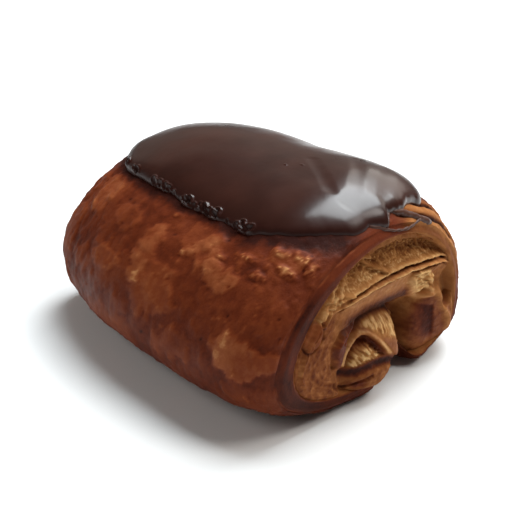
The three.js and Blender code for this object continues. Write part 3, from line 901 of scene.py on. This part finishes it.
def makeIcing():
    piece, row, turn = ball("icingSkin", icing["around"], icing["rows"])
    below = row < icing["belowShare"]
    lower, upper = row / icing["belowShare"], (row - icing["belowShare"]) / (1 - icing["belowShare"])
    spread = np.where(below, np.sin(lower * math.pi / 2), np.cos(np.clip(upper, 0, 1) * math.pi / 2))
    cos, sin = np.cos(turn), np.sin(turn)
    scallops = np.sin(5 * turn + 0.6) + 0.7 * np.sin(11 * turn) + 0.5 * np.sin(17 * turn + 2)
    ring = np.stack([40 * cos, 30 * sin, 0 * cos], -1)
    fineScallops = noiseAt(ring, 4.5, 91, 2) + 0.4 * noiseAt(ring, 1.8, 92)
    power = icingSquareness(cos, sin)
    bulge = (np.abs(cos) ** power + np.abs(sin) ** power) ** (-1 / power)
    bite = icing["bite"] * smooth(cos, 0.5, 0.8) * smooth(sin, 0.0, 0.1) * (1 - smooth(sin, 0.5, 0.7))
    strip = smooth(-sin, 0.25, 0.6) * smooth(cos, -0.5, -0.15) * (1 - smooth(cos, 0.45, 0.62))
    strip = strip * (0.03 + 0.035 * noiseAt(ring, 5, 97, 2))
    waves = icing["wave"] * scallops + (icing["fineWave"] * fineScallops - bite + strip) * spread ** 6
    reach = spread * bulge * (1 + waves)
    x = icing["x"] + icing["halfLength"] * reach * cos
    angle = np.radians(icing["angle"] - icing["halfAngle"] * reach * sin)
    step = 1e-3
    base = sidePoint(x, angle)
    normal = np.cross(sidePoint(x, angle + step) - base, sidePoint(x + step, angle) - base)
    normal = normal / np.linalg.norm(normal, axis=1)[:, None]
    swell = icing["swellRise"] * hump(x - icing["swellX"], icing["swellHalfLength"])
    swell = swell * hump(np.degrees(angle) - icing["swellAngle"], icing["swellHalfAngle"])
    farSide = smooth(-x, 20, 42)
    edgeHeight = lerp(icing["edgeHeight"], icing["farEdgeHeight"], farSide)
    body = icing["thickness"] + swell + icing["farRise"] * smooth(-x, -10, 30) - edgeHeight
    upper = edgeHeight * np.sqrt(np.clip(1 - spread ** lerp(30, 14, farSide), 0, 1))
    upper = upper + body * np.sqrt(1 - spread ** lerp(6, 13, smooth(x, 18, 36)))
    ripples = noiseAt(base * (1, 1.2, 1), 17, 93, 2) + 0.35 * noiseAt(base, 7, 94)
    around = np.degrees(angle)
    for line in icing["creases"]:
        ripples = ripples - icing["creaseDepth"] * hump(lineGap(x, around, *line), icing["creaseHalfWidth"])
    inner = 1 - smooth(spread, 0.9, 1)
    upper = upper + icing["rippleHeight"] * ripples * inner
    gloss = 1 - 0.9 * smooth(spread, 0.9, 0.975) * smooth(-sin, -0.1, 0.3)
    chances = np.random.default_rng(7)
    for _ in range(icing["bubbles"]):  # burst bubbles along the front edge
        x0, size = chances.triangular(-36, 18, 34), chances.uniform(0.6, 1.5)
        a0 = icing["angle"] + icing["halfAngle"] * (1 - (abs(x0 - icing["x"]) / icing["halfLength"]) ** 4) ** 0.25
        a0 = a0 + chances.uniform(-1.6, 0.9) * smooth(x0, -20, 0) - 1.2 * smooth(-x0, 0, 20)
        inBubble = np.hypot(x - x0, (around - a0) * 0.55) / size
        upper = upper + size * (0.3 * hump(inBubble - 0.75, 0.35) - 0.6 * hump(inBubble, 0.7))
        gloss = np.maximum(gloss, 0.7 * hump(inBubble - 0.75, 0.35)) * (1 - hump(inBubble, 0.7))
    for x0, a0 in icing["pimples"]:
        upper = upper + icing["pimpleRise"] * hump(np.hypot(x - x0, (around - a0) * 0.55), 0.5)
    over = np.where(below, -icing["sink"], np.maximum(upper, 0.1) + lerp(0, icing["gap"], 1 - spread ** 10) - 0.25)
    points = base + normal * over[:, None]
    setPlaces(piece, points + loaf["toCentre"])
    paint(piece, gloss=np.where(below, 0, gloss))
    place(piece, icingLook, "chocolate", "icing")
    print("icing made,", len(piece.data.polygons), "faces")


makeIcing()

# Stretched threads of icing at its near corner: x, y, z and half thickness of each point, in millimetres.
pulledThreads = [
    [
        (42, 1.4, 48.2, 1), (43.4, 4.6, 47.7, 1.2), (44.2, 8, 46.6, 1.05), (44.9, 10.8, 45.2, 0.95),
        (45.4, 13.4, 43.8, 0.8), (45.5, 16, 42.3, 1), (45.3, 17.2, 41.5, 0.75),
    ],
    [
        (44.8, -4.4, 47, 0.8), (46.2, -1.8, 46.2, 0.55), (47, 0.4, 45.2, 0.34), (47.4, 3, 44.4, 0.26),
        (47.5, 5.6, 43.9, 0.3), (47.3, 8, 43.7, 0.36), (46.8, 10.4, 43.7, 0.26), (46, 12.8, 43.9, 0.4),
    ],
    [(46.8, 0.2, 45.4, 0.35), (46.7, 0.8, 46.1, 0.3), (45.9, 1.8, 47, 0.35), (44.2, 3, 47.8, 0.6)],
]


def makeThreads():
    lines = bpy.data.curves.new("threadLines", "CURVE")
    lines.dimensions, lines.bevel_depth, lines.bevel_resolution = "3D", 0.001, 5
    lines.use_fill_caps = True
    for stops in pulledThreads:
        line = lines.splines.new("NURBS")
        line.points.add(len(stops) - 1)
        line.use_endpoint_u, line.order_u, line.resolution_u = True, 4, 10
        for point, stop in zip(line.points, stops):
            point.co = (*((np.array(stop[:3]) + loaf["toCentre"]) / 1000), 1)
            point.radius = stop[3]
    holder = bpy.data.objects.new("threadLines", lines)
    bm = bmesh.new()
    bm.from_mesh(bpy.data.meshes.new_from_object(holder))
    bpy.data.objects.remove(holder)
    bmesh.ops.remove_doubles(bm, verts=bm.verts, dist=1e-6)  # joins each tube to its end caps
    bmesh.ops.recalc_face_normals(bm, faces=bm.faces)
    piece = finishMesh(bm, "icingThreads")
    points = coordinates(piece) * 1000
    setPlaces(piece, points + normals(piece) * 0.35 * noiseAt(points, 1.6, 95, 2)[:, None])
    paint(piece, gloss=np.full(len(points), 0.45))
    place(piece, threadLook, "chocolate", "icing")
    print("icing threads made,", len(piece.data.polygons), "faces")


makeThreads()

view = {"azimuth": 49.5, "elevation": 27, "distance": 0.34, "lens": 86.72, "target": (0.001124, 0.002296, 0.019724)}


def makeCamera():
    azimuth, elevation = math.radians(view["azimuth"]), math.radians(view["elevation"])
    right = Vector((math.cos(azimuth), math.sin(azimuth), 0))
    ahead = Vector((math.sin(azimuth), -math.cos(azimuth), 0))
    back = ahead * math.cos(elevation) + Vector((0, 0, math.sin(elevation)))
    up = back.cross(right)
    lens = bpy.data.cameras.new("photoView")
    lens.lens, lens.sensor_width = view["lens"], 36
    camera = bpy.data.objects.new("photoView", lens)
    spot = Vector(view["target"]) + back * view["distance"]
    camera.matrix_world = Matrix.Translation(spot) @ Matrix((right, up, back)).transposed().to_4x4()
    bpy.context.scene.collection.objects.link(camera)
    bpy.context.scene.camera = camera


# Each light: direction towards it, distance, width, height, power, colour.
studio = {
    "window": ((-0.09, 0.4, 0.89), 0.55, 0.38, 0.42, 6.0, (0.9, 0.97, 1.0)),
    "sheen": ((-0.18, 0.8, 0.52), 0.7, 0.6, 0.42, 1.7, (1.0, 0.95, 0.88)),
    "ceiling": ((-0.78, 0.52, 0.34), 1.0, 1.1, 0.5, 0.35, (1.0, 0.84, 0.72)),
    "side": ((0.6, 0.5, 0.95), 0.7, 0.24, 0.24, 1.9, (1.0, 0.97, 0.92)),
    "front": ((-0.1, -0.9, 0.75), 0.8, 0.5, 0.4, 1.5, (1.0, 0.96, 0.92)),
    "worldColour": (1, 0.96, 0.92, 1), "worldStrength": 0.09,
    "floor": 0.8,
}


def makeStudio():
    for name in ("window", "sheen", "ceiling", "side", "front"):
        direction, distance, width, height, power, colour = studio[name]
        lamp = bpy.data.lights.new(name, "AREA")
        lamp.shape, lamp.size, lamp.size_y = "RECTANGLE", width, height
        lamp.energy, lamp.color = power, colour
        holder = bpy.data.objects.new(name, lamp)
        outward = Vector(direction).normalized()
        holder.location = Vector((0, 0, 0.03)) + outward * distance
        holder.rotation_euler = outward.to_track_quat("Z", "Y").to_euler()
        holder.visible_glossy = name != "front"  # a fill light that gives no shine
        bpy.context.scene.collection.objects.link(holder)
    world = bpy.data.worlds.new("paleRoom")
    world.use_nodes = True
    background = world.node_tree.nodes["Background"]
    background.inputs["Color"].default_value = studio["worldColour"]
    background.inputs["Strength"].default_value = studio["worldStrength"]
    bpy.context.scene.world = world
    bm = bmesh.new()
    bmesh.ops.create_grid(bm, x_segments=1, y_segments=1, size=3)
    floor = finishMesh(bm, "floor")
    material, _, shader = newMaterial("paleFloor")
    shader.inputs["Base Color"].default_value = (studio["floor"],) * 3 + (1,)
    shader.inputs["Roughness"].default_value = 0.9
    floor.data.materials.append(material)


makeCamera()
makeStudio()
bpy.context.scene.view_settings.view_transform = "Standard"
print("camera, light and floor made")
